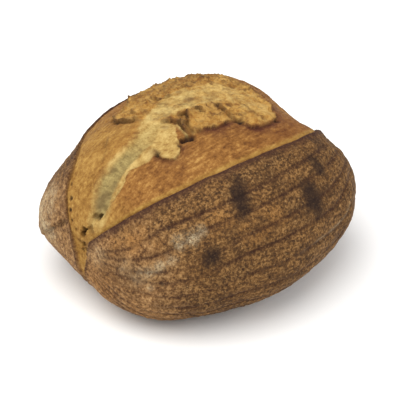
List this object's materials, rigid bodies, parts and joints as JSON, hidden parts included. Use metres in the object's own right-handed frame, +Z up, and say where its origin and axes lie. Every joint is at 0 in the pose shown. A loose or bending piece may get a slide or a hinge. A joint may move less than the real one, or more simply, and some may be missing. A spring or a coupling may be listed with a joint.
{
  "type": "sourdough loaf",
  "caption": "Round-oval free-baked sourdough loaf, opened along one long score with two scorched crust lips and a torn crest, resting on a small flat base.",
  "frame": {"origin": "centre of the loaf's footprint, on the surface that it stands on", "axes": "+X along the score, from the near end to the far end; +Z up; -Y towards the wider crust half"},
  "size_m": [0.2052, 0.1908, 0.1097],
  "materials": {
    "crust": "matt baked crust, floury brown on the two halves and golden in the opening"
  },
  "bodies": {
    "root": {"loaf": "crust"}
  },
  "joints": []
}
